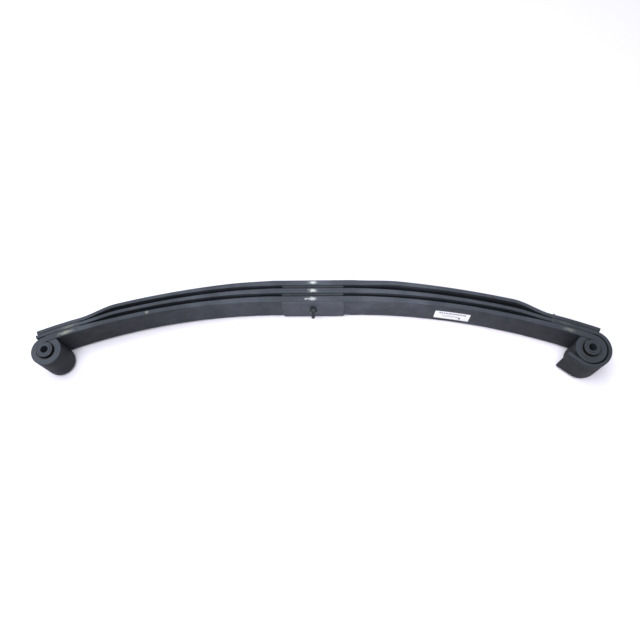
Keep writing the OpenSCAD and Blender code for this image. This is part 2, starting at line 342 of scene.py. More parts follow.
def gap(s, middle):
    """Space between two leaves: the spacer's at the seat, a middle one, and the liner's."""
    leaf, spacer_t = sizes("leaves"), sizes("seat").spacer_t
    opened = spacer_t + (middle - spacer_t) * ease(s, leaf.flat_l, leaf.spread_l)
    return opened - (middle - leaf.liner_gap) * ease(s, leaf.taper_l, leaf.close_l)


def second_at(s, side):
    return main_t(s) + gap(s, sizes("leaves").lower_gap)


def third_at(s, side):
    leaf = sizes("leaves")
    middle = leaf.front_gap if side == FRONT else leaf.rear_gap
    return second_at(s, side) + leaf_t(s) + gap(s, middle)


def steps(start, end, spacing):
    """Places after start, up to and with end, no further apart than spacing."""
    count = max(1, round((end - start) / spacing))
    return [start + (end - start) * (i + 1) / count for i in range(count)]


def new_piece(name, bm, material, smooth=True):
    """A named object from a finished bmesh, with its creases kept sharp and its flats flat."""
    bmesh.ops.remove_doubles(bm, verts=bm.verts, dist=SAME_PLACE)
    bmesh.ops.recalc_face_normals(bm, faces=bm.faces)
    mesh = bpy.data.meshes.new(name)
    bm.to_mesh(mesh)
    bm.free()
    piece = bpy.data.objects.new(name, mesh)
    bpy.context.scene.collection.objects.link(piece)
    mesh.materials.append(material)
    if smooth:
        mesh.shade_smooth()
        mesh.set_sharp_from_angle(angle=SHARP_ANGLE)
        weighted = piece.modifiers.new("Flat faces stay flat", "WEIGHTED_NORMAL")
        weighted.keep_sharp = True
    return piece


def straight_bar(places, width, thick, edge_r, end_r, z_mid=0.0):
    """A bar along X from 0 or its first place to its last, with rounded sides and a ring at each."""
    bm = bmesh.new()
    stand = Matrix.Translation((places[0], thick / 2, z_mid)) @ Matrix.Rotation(pi / 2, 4, "Y")
    shape = Matrix.Diagonal((width / 2, thick / 2, 1, 1))
    bmesh.ops.create_grid(bm, x_segments=1, y_segments=1, size=1, matrix=stand @ shape)
    bmesh.ops.bevel(
        bm, geom=bm.verts[:], offset=edge_r, segments=6, profile=0.5, affect="VERTICES", material=-1
    )
    end = bm.edges[:]
    for start, place in zip(places, places[1:]):
        grown = bmesh.ops.extrude_edge_only(bm, edges=end)["geom"]
        end = [g for g in grown if isinstance(g, bmesh.types.BMEdge)]
        moved = [g for g in grown if isinstance(g, bmesh.types.BMVert)]
        bmesh.ops.translate(bm, verts=moved, vec=(place - start, 0, 0))
    bmesh.ops.holes_fill(bm, edges=end)
    if end_r:
        bmesh.ops.bevel(
            bm, geom=end, offset=end_r, segments=3, profile=0.5, affect="EDGES", material=-1
        )
    return bm


def lay_along(bm, line, thick, low, top, past_eye=None):
    """Bends a straight bar along an arm, and keeps each point's place on the leaf as an attribute."""
    kept = bm.verts.layers.float_vector.new("leaf_place")
    for vert in bm.verts:
        s, share, z = vert.co.x, vert.co.y / thick, vert.co.z
        at = min(s, line.eye_l) if past_eye else s
        h = low(at) + share * (top(at) - low(at))
        if past_eye and s > line.eye_l:
            x, y = past_eye(s - line.eye_l, h)
        else:
            x, y = line.along(s, h)
        vert[kept] = (line.side * s, h, z)
        vert.co = (x, y, z)


def flexes_with(piece):
    """Bakes the piece's place into its mesh."""
    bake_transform(piece)


def leaf_half(name, side, low, t, end_l, material, past_eye=None, past_l=()):
    """Half of a leaf, from over the centre bolt to one end, in place of its CAD node."""
    leaf, line = sizes("leaves"), LeafLine(side)
    places = [0.0, *steps(0, leaf.flat_l, leaf.flat_l / 2), *steps(leaf.flat_l, end_l, LEAF_STEP)]
    bm = straight_bar([*places, *past_l], leaf.width, leaf.seat_t, leaf.edge_r, leaf.end_r)
    lay_along(bm, line, leaf.seat_t, low, lambda s: low(s) + t(s), past_eye)
    piece = new_piece(f"{name}_{SIDE_NAMES[side]}_half", bm, material)
    flexes_with(piece)
    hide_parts(name)
    return piece


def main_leaf_half(side, material):
    """The main leaf's arm and its rolled eye, cut off along the leaf that it comes back to."""
    leaf, line = sizes("leaves"), LeafLine(side)
    cut_y = leaf.bore_r - leaf.slit
    full_turn = radians(270) + asin(cut_y / (leaf.bore_r + leaf.eye_t / 2))
    roll_l = full_turn * leaf.bore_r

    def roll(travel, h):
        turn = radians(270) + asin(cut_y / (leaf.bore_r + h))
        return line.round_eye(travel / roll_l * turn, h)

    past = steps(line.eye_l, line.eye_l + roll_l, TURN_STEP * leaf.bore_r)
    leaf_half("main_leaf", side, lambda s: 0.0, main_t, line.eye_l, material, roll, past)


def wrapped_half(material):
    """The second leaf's front arm, which ends in a wrap round the front eye with a straight tail."""
    leaf, line = sizes("leaves"), LeafLine(FRONT)
    wrap_r = leaf.bore_r + leaf.eye_t + leaf.liner_gap + leaf.tip_t / 2
    wrap_l = wrap_r * leaf.wrap_turn
    bend_l = line.eye_l + leaf.wrap_run

    def wrap(travel, h):
        bent = max(0.0, travel - leaf.wrap_run)
        x, y = line.round_eye(min(bent, wrap_l) / wrap_r, h, max(0.0, bent - wrap_l))
        run = travel - bent
        return x + run * cos(line.eye_angle), y - run * sin(line.eye_angle)

    past = [
        bend_l,
        *steps(bend_l, bend_l + wrap_l, TURN_STEP * wrap_r),
        *steps(bend_l + wrap_l, bend_l + wrap_l + leaf.wrap_tail, LEAF_STEP),
    ]
    low = partial(second_at, side=FRONT)
    leaf_half("second_leaf", FRONT, low, leaf_t, line.eye_l, material, wrap, past)


def turned(outline, rounded=()):
    """A solid of revolution about Z from its outline of (radius, z) and its rounded corners."""
    bm = bmesh.new()
    corners = [bm.verts.new((r, 0, z)) for r, z in outline]
    bm.faces.new(corners)
    for index, radius in rounded:
        bmesh.ops.bevel(
            bm, geom=[corners[index]], offset=radius, segments=ROUND_STEPS, profile=0.5,
            affect="VERTICES", material=-1,
        )
    bmesh.ops.delete(bm, geom=bm.faces[:], context="FACES_ONLY")
    bmesh.ops.spin(
        bm, geom=bm.verts[:] + bm.edges[:], cent=(0, 0, 0), axis=(0, 0, 1), angle=2 * pi,
        steps=SPIN_STEPS, use_merge=True,
    )
    return bm


def moved_to_eye(bm, side):
    """The shape given, moved onto the axis of an arm's eye."""
    eye = MOUNTS[SIDE_NAMES[side] + "_eye_bore"]["pos_m"]
    bmesh.ops.translate(bm, verts=bm.verts, vec=eye)
    return bm


def plate(name, node, hole_r, edge_r, shade_side, material):
    """A rolled plate in a CAD plate's place: rounded corners and edges, and the bolt's hole.

    An attribute is 1 along its edge below or above it, where the colour is darkened to near-black as
    painted shade in the seam next to a leaf.
    """
    seat = sizes("seat")
    low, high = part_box(node)
    size = high - low
    bm = bmesh.new()
    stand = Matrix.Translation((0, low.y, 0)) @ Matrix.Rotation(-pi / 2, 4, "X")
    shape = Matrix.Diagonal((size.x / 2, size.z / 2, 1, 1))
    bmesh.ops.create_grid(bm, x_segments=1, y_segments=1, size=1, matrix=stand @ shape)
    bmesh.ops.bevel(
        bm, geom=bm.verts[:], offset=seat.corner_r, segments=ROUND_STEPS, profile=0.5,
        affect="VERTICES", material=-1,
    )
    bmesh.ops.delete(bm, geom=bm.faces[:], context="FACES_ONLY")
    bmesh.ops.create_circle(bm, segments=40, radius=hole_r, matrix=stand)
    filled = bmesh.ops.triangle_fill(bm, edges=bm.edges[:], use_beauty=True, use_dissolve=False)
    faces = [g for g in filled["geom"] if isinstance(g, bmesh.types.BMFace)]
    grown = bmesh.ops.extrude_face_region(bm, geom=faces)["geom"]
    moved = [g for g in grown if isinstance(g, bmesh.types.BMVert)]
    bmesh.ops.translate(bm, verts=moved, vec=(0, size.y, 0))
    bmesh.ops.recalc_face_normals(bm, faces=bm.faces)
    past_hole = 2 * hole_r
    rims = [
        edge for edge in bm.edges
        if edge.calc_face_angle() > SHARP_ANGLE and edge.verts[0].co.xz.length > past_hole
    ]
    bmesh.ops.bevel(
        bm, geom=rims, offset=edge_r, segments=ROUND_STEPS, profile=0.5, affect="EDGES",
        material=-1,
    )
    joint_shade = bm.verts.layers.float.new("joint_shade")
    shade_y = high.y if shade_side > 0 else low.y
    shade_h = 0.75 * edge_r
    for vert in bm.verts:
        vert[joint_shade] = float(abs(vert.co.y - shade_y) < shade_h)
    piece = new_piece(name, bm, material)
    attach(piece, "seat")
    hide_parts(node)


def thread(r, pitch, deep, start, end):
    """A threaded length of rod along Z, from the middle of the nut to its chamfered end."""
    root_r = r - deep * pitch
    turns = int((end - start) / pitch) + 2
    bm = bmesh.new()
    points = [
        bm.verts.new((root_r + (r - root_r) * out, 0, start - pitch + up * pitch))
        for out, up in TOOTH
    ]
    for a, b in zip(points, points[1:]):
        bm.edges.new((a, b))
    bmesh.ops.spin(
        bm, geom=bm.verts[:] + bm.edges[:], cent=(0, 0, 0), axis=(0, 0, 1),
        dvec=(0, 0, pitch / THREAD_STEPS), angle=2 * pi * turns, steps=THREAD_STEPS * turns,
        use_merge=False,
    )
    bmesh.ops.remove_doubles(bm, verts=bm.verts, dist=SAME_PLACE)
    for z, way in ((start, -1), (end, 1)):
        cut = bmesh.ops.bisect_plane(
            bm, geom=bm.verts[:] + bm.edges[:] + bm.faces[:], plane_co=(0, 0, z),
            plane_no=(0, 0, way), clear_outer=True,
        )
        edges = [g for g in cut["geom_cut"] if isinstance(g, bmesh.types.BMEdge)]
        bmesh.ops.holes_fill(bm, edges=edges)
    end_r = root_r - 0.2 * pitch
    for vert in bm.verts:
        widest = end_r + max(0.0, end - vert.co.z)
        reach = vert.co.xy.length
        if reach > widest:
            vert.co.xy *= widest / reach
    return bm


def node(tree, kind, values=None, **settings):
    """Adds a shader node with its settings. A value that is a socket is linked, any other is set."""
    made = tree.nodes.new("ShaderNode" + kind)
    for name, setting in settings.items():
        setattr(made, name, setting)
    sockets = {socket.identifier: socket for socket in made.inputs}
    for name, value in (values or {}).items():
        if isinstance(value, NodeSocket):
            tree.links.new(value, sockets[name])
        else:
            sockets[name].default_value = value
    return made


def new_material(name):
    """An empty node material, its tree and the output that its surface goes to."""
    material = bpy.data.materials.new(name)
    material.use_nodes = True
    tree = material.node_tree
    tree.nodes.clear()
    return material, tree, node(tree, "OutputMaterial")


def surface(tree, output, values):
    """The piece's shader, with its values set or linked, joined to the output."""
    shader = node(tree, "BsdfPrincipled", values)
    tree.links.new(shader.outputs["BSDF"], output.inputs["Surface"])


def per(size_mm):
    """The scale of a pattern whose features are that many millimetres apart."""
    return 1 / (size_mm * MM)


def rgba(rgb):
    return (*rgb, 1.0)


def mixed(tree, share, a, b):
    """Colour a turning into colour b as share goes from 0 to 1."""
    a, b = (x if isinstance(x, NodeSocket) else rgba(x) for x in (a, b))
    made = node(
        tree, "Mix", {"Factor_Float": share, "A_Color": a, "B_Color": b}, data_type="RGBA"
    )
    return next(out for out in made.outputs if out.identifier == "Result_Color")


def ramp(tree, value, start, end, low=0.0, high=1.0):
    """Low where value is under start, high over end, and a smooth run between them."""
    return node(
        tree, "MapRange",
        {"Value": value, "From Min": start, "From Max": end, "To Min": low, "To Max": high},
        interpolation_type="SMOOTHSTEP",
    ).outputs["Result"]


def noise(tree, place, size_mm, detail=2.0, roughness=0.5):
    """Cloudy variation between 0 and 1, with features that many millimetres across."""
    return node(
        tree, "TexNoise",
        {"Vector": place, "Scale": per(size_mm), "Detail": detail, "Roughness": roughness},
    ).outputs["Fac"]


def leaf_marks():
    """Where marks lie on the leaves' upper side edges.

    Each has its length and height on the leaf, its half sizes in mm, its strength and its kind.
    """
    leaf, half_h = sizes("leaves"), 2.6
    second, third = second_at(0, FRONT), third_at(0, FRONT)
    middles = (leaf.main_seat_t / 2, second + leaf.seat_t / 2, third + leaf.seat_t / 2)
    marks = [(0.0, height, 8.0, 3.4, 1.0, "mark") for height in middles]
    marks.append((-11.5 * MM, middles[0], 3.4, 1.8, 1.0, "mark"))
    for side, at, half_l, strength in MAIN_SCUFFS:
        s = at * MM
        marks.append((side * s, main_t(s) / 2, half_l, half_h, strength, "bare"))
    for side, at, half_l, strength in SECOND_SCUFFS:
        s = at * MM
        middle = second_at(s, side) + leaf_t(s) / 2
        marks.append((side * s, middle, half_l, half_h, strength, "bare"))
    return marks


def in_mark(tree, place, mark):
    """Up to a mark's strength inside its ragged edge, and 0 outside it and below the side edge."""
    s, height, half_l, half_h, strength, kind = mark
    half_z = 2.6  # a mark stays on the side edge that faces up
    grain_mm, soft_end = (3.2, 2.7) if kind == "mark" else (4.0, 3.1)
    centre = (s, height, sizes("leaves").width / 2)
    moved = node(tree, "VectorMath", {"Vector": place, "Vector_001": centre}, operation="SUBTRACT")
    shape = (per(half_l), per(half_h), per(half_z))
    scaled = node(
        tree, "VectorMath", {"Vector": moved.outputs["Vector"], "Vector_001": shape},
        operation="MULTIPLY",
    )
    reach = node(tree, "VectorMath", {"Vector": scaled.outputs["Vector"]}, operation="LENGTH")
    ragged = noise(tree, place, grain_mm, detail=5.0, roughness=0.7)
    edge = node(
        tree, "Math", {"Value": ragged, "Value_001": 3.0, "Value_002": reach.outputs["Value"]},
        operation="MULTIPLY_ADD",
    )
    return ramp(tree, edge.outputs["Value"], 1.6, soft_end, strength, 0.0)


def marked(tree, place, kind):
    """Share of a kind of mark at each point of the leaves."""
    share = 0.0
    for mark in leaf_marks():
        if mark[-1] == kind:
            share = node(
                tree, "Math", {"Value": in_mark(tree, place, mark), "Value_001": share},
                operation="MAXIMUM",
            ).outputs["Value"]
    return share


def nut_shade_and_grease(tree, place):
    """Share of the dark patch on the base pad over the nut: painted shade of the nut, with a greasy
    smear.
    """
    centre, taller = (0, 0, 10 * MM), (1, 0, 0.7)
    full_r, faded_r = 2 * MM, 9 * MM
    moved = node(tree, "VectorMath", {"Vector": place, "Vector_001": centre}, operation="SUBTRACT")
    flat = node(
        tree, "VectorMath", {"Vector": moved.outputs["Vector"], "Vector_001": taller},
        operation="MULTIPLY",
    )
    reach = node(tree, "VectorMath", {"Vector": flat.outputs["Vector"]}, operation="LENGTH")
    return ramp(tree, reach.outputs["Value"], full_r, faded_r, 0.85, 0.0)


def shade_round_front_eye(tree, base):
    """The colour given, darker round the front eye at +X: painted shade."""
    start_x, end_x = 400 * MM, 462 * MM
    place = node(tree, "TexCoord").outputs["Object"]
    along = node(tree, "SeparateXYZ", {"Vector": place}).outputs["X"]
    share = ramp(tree, along, start_x, end_x, 0.0, 0.6)
    return mixed(tree, share, base, sizes("finishes").primer_and_shade)


def face_shade(tree, place):
    """Share of painted shade: 0 on the leaves' side edges and over the seat, and rising toward the
    eyes on their faces.
    """
    start_l, end_l = 120 * MM, 430 * MM
    parts = node(tree, "SeparateXYZ", {"Vector": place}).outputs
    along = node(tree, "Math", {"Value": parts["X"]}, operation="ABSOLUTE").outputs["Value"]
    out_z = node(tree, "Math", {"Value": parts["Z"]}, operation="ABSOLUTE").outputs["Value"]
    half_w = sizes("leaves").width / 2
    inside = ramp(tree, out_z, half_w - 1.6 * MM, half_w - 0.6 * MM, 1.0, 0.0)
    near_eye = ramp(tree, along, start_l, end_l, 0.0, 0.8)
    return node(
        tree, "Math", {"Value": inside, "Value_001": near_eye}, operation="MULTIPLY"
    ).outputs["Value"]


def chassis_paint(name, thick, thin, on_leaf=False):
    """Chassis black over shot-peened spring steel, sprayed in one coat and air dried.

    It gives a soft satin sheen with a faint orange peel, cloudy patches where the coat is thin,
    lengthwise streaks from the rolled bar under it and a little settled dust. It is made once
    for each name.
    """
    if name in bpy.data.materials:
        return bpy.data.materials[name]
    finish = sizes("finishes")
    material, tree, output = new_material(name)
    if on_leaf:
        place = node(tree, "Attribute", attribute_name="leaf_place").outputs["Vector"]
    else:
        place = node(tree, "TexCoord").outputs["Object"]
    # Patches of thin paint, a hand's breadth apart.
    cloud = noise(tree, place, 55, detail=4.0)
    base = mixed(tree, ramp(tree, cloud, 0.35, 0.7), thick, thin)
    # Streaks of the rolled bar, a few millimetres wide and much longer.
    drawn = node(
        tree, "VectorMath", {"Vector": place, "Vector_001": (0.06, 1, 1)}, operation="MULTIPLY"
    )
    streak = noise(tree, drawn.outputs["Vector"], 3.5, detail=3.0)
    base = mixed(tree, ramp(tree, streak, 0.5, 0.8, 0.0, 0.35), base, thin)
    # Dust is finer than this. It is drawn coarse enough to show, in the colour of bare steel.
    dust = noise(tree, place, 1.1, detail=2.0)
    base = mixed(tree, ramp(tree, dust, 0.66, 0.74, 0.0, 0.3), base, finish.bare)
    rough = ramp(tree, noise(tree, place, 18, detail=5.0), 0.3, 0.7, 0.6, 0.72)
    metal = 0.0
    if on_leaf:
        # Painted shade: the leaves' faces darken toward the eyes.
        base = mixed(tree, face_shade(tree, place), base, finish.primer_and_shade)
        bare, mark = marked(tree, place, "bare"), marked(tree, place, "mark")
        base = mixed(tree, bare, base, finish.bare)
        base = mixed(tree, mark, base, finish.mark)
        metal = node(
            tree, "Math", {"Value": bare, "Value_001": 0.6}, operation="MULTIPLY"
        ).outputs["Value"]
    else:
        # Painted shade of the nut, with a greasy smear, darkens the base pad over it.
        base = mixed(tree, nut_shade_and_grease(tree, place), base, finish.bare_rubber_and_shade)
        # Painted shade: the plate's edge in the seam next to a leaf is darkened to near-black.
        joint_shade = node(tree, "Attribute", attribute_name="joint_shade").outputs["Fac"]
        base = mixed(tree, joint_shade, base, finish.bare_rubber_and_shade)
    # Painted shade round the front eye.
    base = shade_round_front_eye(tree, base)
    # Orange peel of the sprayed coat, over the dimples of the shot.
    peel = noise(tree, place, 2.2, detail=1.0)
    shot = noise(tree, place, 0.8, detail=2.0)
    relief = node(
        tree, "Math", {"Value": shot, "Value_001": 0.5, "Value_002": peel},
        operation="MULTIPLY_ADD",
    )
    bump = node(
        tree, "Bump",
        {"Strength": 0.5, "Distance": 0.06 * MM, "Height": relief.outputs["Value"]},
    )
    surface(
        tree, output,
        {
            "Base Color": base, "Metallic": metal, "Roughness": rough, "IOR": 1.5,
            "Specular IOR Level": 0.14, "Normal": bump.outputs["Normal"],
        },
    )
    return material


def leaf_paint():
    finish = sizes("finishes")
    return chassis_paint("satin_chassis_paint", finish.paint, finish.paint_thin, on_leaf=True)


def tube_paint():
    finish = sizes("finishes")
    return chassis_paint("satin_chassis_paint_on_parts", finish.paint, finish.paint_thin)


def shaded_spacer_paint():
    # A darker copy of the chassis paint: painted shade in the recess between the leaves.
    finish = sizes("finishes")
    return chassis_paint("shaded_chassis_paint_on_spacers", finish.spacer, finish.paint)


def pad_paint():
    finish = sizes("finishes")
    return chassis_paint("satin_chassis_paint_on_pad", finish.paint_thin, finish.pad)


def phosphated_steel():
    """Zinc-phosphated bolt steel: a dark, dry and finely crystalline grey with a dull glint."""
    finish = sizes("finishes")
    material, tree, output = new_material("phosphated_bolt_steel")
    place = node(tree, "TexCoord").outputs["Object"]
    grain = noise(tree, place, 0.6, detail=4.0)
    base = mixed(tree, ramp(tree, grain, 0.4, 0.75, 0.0, 0.6), finish.bolt, finish.paint_thin)
    rough = ramp(tree, noise(tree, place, 2.5, detail=3.0), 0.3, 0.7, 0.42, 0.55)
    bump = node(tree, "Bump", {"Strength": 0.4, "Distance": 0.03 * MM, "Height": grain})
    surface(
        tree, output,
        {
            "Base Color": base, "Metallic": 0.55, "Roughness": rough,
            "Normal": bump.outputs["Normal"],
        },
    )
    return material


def oversprayed_rubber():
    """Moulded natural rubber under a thin coat of chassis paint, matt and slightly mottled."""
    finish = sizes("finishes")
    material, tree, output = new_material("oversprayed_natural_rubber")
    place = node(tree, "TexCoord").outputs["Object"]
    mottle = noise(tree, place, 4, detail=4.0)
    base = mixed(tree, ramp(tree, mottle, 0.4, 0.7), finish.rubber, finish.paint_thin)
    # Painted shade round the front eye.
    base = shade_round_front_eye(tree, base)
    # The overspray lies on the collars' ends and fades out over their rounded edges. The bare sides
    # are drawn near-black, partly as painted shade in the groove.
    collar_z = sizes("bushes").rubber_l / 2
    bare_shaded_z, covered_z = collar_z - 0.9 * MM, collar_z - 0.15 * MM
    place_z = node(tree, "SeparateXYZ", {"Vector": place}).outputs["Z"]
    out_z = node(tree, "Math", {"Value": place_z}, operation="ABSOLUTE").outputs["Value"]
    overspray_over_shade = ramp(tree, out_z, bare_shaded_z, covered_z)
    base = mixed(tree, overspray_over_shade, finish.bare_rubber_and_shade, base)
    bump = node(
        tree, "Bump",
        {"Strength": 0.5, "Distance": 0.05 * MM, "Height": noise(tree, place, 1.5, detail=3.0)},
    )
    surface(
        tree, output,
        {
            "Base Color": base, "Roughness": 0.7, "IOR": 1.52, "Specular IOR Level": 0.2,
            "Normal": bump.outputs["Normal"],
        },
    )
    return material


def primed_steel_in_shade():
    """Drawn steel tube under a black bonding coat: an even, dull near-black with faint grain, drawn
    this dark partly as painted shade in the groove round the collar.
    """
    finish = sizes("finishes")
    material, tree, output = new_material("bonding_primer_on_steel_in_shade")
    place = node(tree, "TexCoord").outputs["Object"]
    grain = noise(tree, place, 1.4, detail=4.0)
    base = mixed(tree, ramp(tree, grain, 0.4, 0.75, 0.0, 0.5), finish.primer_and_shade, finish.paint)
    # Painted shade round the front eye.
    base = shade_round_front_eye(tree, base)
    rough = ramp(tree, grain, 0.3, 0.7, 0.55, 0.68)
    bump = node(tree, "Bump", {"Strength": 0.3, "Distance": 0.03 * MM, "Height": grain})
    surface(
        tree, output,
        {"Base Color": base, "Roughness": rough, "IOR": 1.5, "Normal": bump.outputs["Normal"]},
    )
    return material


def cut_nylon():
    """Black nylon strip, extruded and cut: an even dark satin with faint lines along it."""
    finish = sizes("finishes")
    material, tree, output = new_material("extruded_black_nylon")
    place = node(tree, "TexCoord").outputs["Object"]
    drawn = node(
        tree, "VectorMath", {"Vector": place, "Vector_001": (0.1, 1, 1)}, operation="MULTIPLY"
    )
    line = noise(tree, drawn.outputs["Vector"], 1.2, detail=2.0)
    base = mixed(tree, ramp(tree, line, 0.35, 0.7, 0.0, 0.5), finish.nylon, finish.paint)
    bump = node(tree, "Bump", {"Strength": 0.3, "Distance": 0.03 * MM, "Height": line})
    surface(
        tree, output,
        {"Base Color": base, "Roughness": 0.5, "IOR": 1.53, "Normal": bump.outputs["Normal"]},
    )
    return material


def in_patch(tree, place, centre, half, is_round=False):
    """1 inside a small printed patch and 0 outside it, by the leaf's own length and width."""
    moved = node(
        tree, "VectorMath", {"Vector": place, "Vector_001": (centre[0], 0, centre[1])},
        operation="SUBTRACT",
    )
    scaled = node(
        tree, "VectorMath",
        {"Vector": moved.outputs["Vector"], "Vector_001": (1 / half[0], 0, 1 / half[1])},
        operation="MULTIPLY",
    )
    if is_round:
        reach = node(
            tree, "VectorMath", {"Vector": scaled.outputs["Vector"]}, operation="LENGTH"
        ).outputs["Value"]
    else:
        size = node(tree, "VectorMath", {"Vector": scaled.outputs["Vector"]}, operation="ABSOLUTE")
        parts = node(tree, "SeparateXYZ", {"Vector": size.outputs["Vector"]})
        reach = node(
            tree, "Math", {"Value": parts.outputs["X"], "Value_001": parts.outputs["Z"]},
            operation="MAXIMUM",
        ).outputs["Value"]
    return ramp(tree, reach, 0.94, 1.06, 1.0, 0.0)


def label_film():
    """White vinyl film, thermal printed with plain bars: a smooth, bright, slightly glossy patch."""
    finish, label = sizes("finishes"), sizes("label")
    material, tree, output = new_material("printed_vinyl_film")
    place = node(tree, "Attribute", attribute_name="leaf_place").outputs["Vector"]
    start = label.place - label.long / 2
    grime = ramp(tree, noise(tree, place, 9), 0.3, 0.8, 0.0, 0.06)
    base = mixed(tree, grime, finish.label, finish.ink)
    # A row of upright bars. The noise shifts them, so that their widths and spaces vary.
    column = node(
        tree, "VectorMath", {"Vector": place, "Vector_001": (1, 0, 0)}, operation="MULTIPLY"
    )
    uneven = noise(tree, column.outputs["Vector"], 5, detail=0.0)
    shift = node(tree, "Math", {"Value": uneven, "Value_001": 7.0}, operation="MULTIPLY")
    phase = node(
        tree, "Math",
        {
            "Value": node(tree, "SeparateXYZ", {"Vector": place}).outputs["X"],
            "Value_001": 2 * pi / label.bar_pitch, "Value_002": shift.outputs["Value"],
        },
        operation="MULTIPLY_ADD",
    )
    wave = node(tree, "Math", {"Value": phase.outputs["Value"]}, operation="SINE")
    bars = ramp(tree, wave.outputs["Value"], -0.5, -0.1)
    row_centre, row_half = (start + 31 * MM, 3.4 * MM), (24.5 * MM, 3.2 * MM)
    row = in_patch(tree, place, row_centre, row_half)
    ink = node(tree, "Math", {"Value": bars, "Value_001": row}, operation="MULTIPLY")
    base = mixed(tree, ink.outputs["Value"], base, finish.ink)
    for along, up, half_l, half_h, strength, is_round in PRINTED:
        centre, half = (start + along * MM, up * MM), (half_l * MM, half_h * MM)
        patch = in_patch(tree, place, centre, half, is_round)
        share = node(tree, "Math", {"Value": patch, "Value_001": strength}, operation="MULTIPLY")
        base = mixed(tree, share.outputs["Value"], base, finish.ink)
    surface(tree, output, {"Base Color": base, "Roughness": 0.38, "IOR": 1.46})
    return material


def studio_floor():
    """Seamless studio paper: even, matt and pale."""
    material, tree, output = new_material("studio_paper")
    place = node(tree, "TexCoord").outputs["Object"]
    pale = Vector(sizes("finishes").floor)
    base = mixed(tree, noise(tree, place, 400), tuple(pale * 0.985), tuple(pale))
    surface(tree, output, {"Base Color": base, "Roughness": 0.9, "Specular IOR Level": 0.2})
    return material


def cad_piece(name, material):
    """A CAD node that is shown as it is, with a better material."""
    piece = frame["nodes"][name]
    piece.data.materials.clear()
    piece.data.materials.append(material)


class LEAFSPRING_OT_leaves(Operator):
    """Build the three leaves in halves, one for each arm"""

    bl_idname = "leaf_spring.leaves"
    bl_label = "Leaves"

    def execute(self, context):
        leaf, paint = sizes("leaves"), leaf_paint()
        for side in (FRONT, REAR):
            main_leaf_half(side, paint)
        wrapped_half(paint)
        second_low = partial(second_at, side=REAR)
        leaf_half("second_leaf", REAR, second_low, leaf_t, leaf.second_rear_l, paint)
        for side, end_l in ((FRONT, leaf.third_front_l), (REAR, leaf.third_rear_l)):
            leaf_half("third_leaf", side, partial(third_at, side=side), leaf_t, end_l, paint)
        return {"FINISHED"}


class LEAFSPRING_OT_seat(Operator):
    """Build the spacers between the leaves and the base pad under them"""

    bl_idname = "leaf_spring.seat"
    bl_label = "Spacers and base pad"

    def execute(self, context):
        seat = sizes("seat")
        hole_r = seat.bolt_r + seat.bolt_play
        for name in ("upper_spacer", "lower_spacer"):
            plate(name + "_plate", name, hole_r, seat.spacer_edge_r, -1, shaded_spacer_paint())
        plate("base_pad_plate", "base_pad", hole_r, seat.pad_edge_r, 1, pad_paint())
        return {"FINISHED"}


class LEAFSPRING_OT_bolt(Operator):
    """Build the centre bolt with its thread, and finish its nut"""

    bl_idname = "leaf_spring.bolt"
    bl_label = "Centre bolt and nut"

    def execute(self, context):
        seat, steel = sizes("seat"), phosphated_steel()
        low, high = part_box("centre_bolt")
        nut_low, nut_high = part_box("centre_nut")
        head_low = high.y - seat.head_h
        thread_at = -(nut_low.y + nut_high.y) / 2
        shank = turned(
            [
                (0, -thread_at), (seat.bolt_r, -thread_at), (seat.bolt_r, head_low),
                (seat.head_r, head_low), (seat.head_r, high.y), (0, high.y),
            ],
            rounded=[(4, seat.head_edge_r)],
        )
        rod = thread(seat.bolt_r, seat.pitch, seat.thread_deep, thread_at, -low.y)
        bmesh.ops.rotate(rod, verts=rod.verts, cent=(0, 0, 0), matrix=Matrix.Rotation(pi, 3, "X"))
        thread_mesh = bpy.data.meshes.new("thread")
        rod.to_mesh(thread_mesh)
        rod.free()
        shank.from_mesh(thread_mesh)
        bpy.data.meshes.remove(thread_mesh)
        stand = Matrix.Rotation(-pi / 2, 3, "X")
        bmesh.ops.rotate(shank, verts=shank.verts, cent=(0, 0, 0), matrix=stand)
        piece = new_piece("centre_bolt_threaded", shank, steel)
        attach(piece, "seat")
        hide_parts("centre_bolt")
        cad_piece("centre_nut", steel)
        return {"FINISHED"}


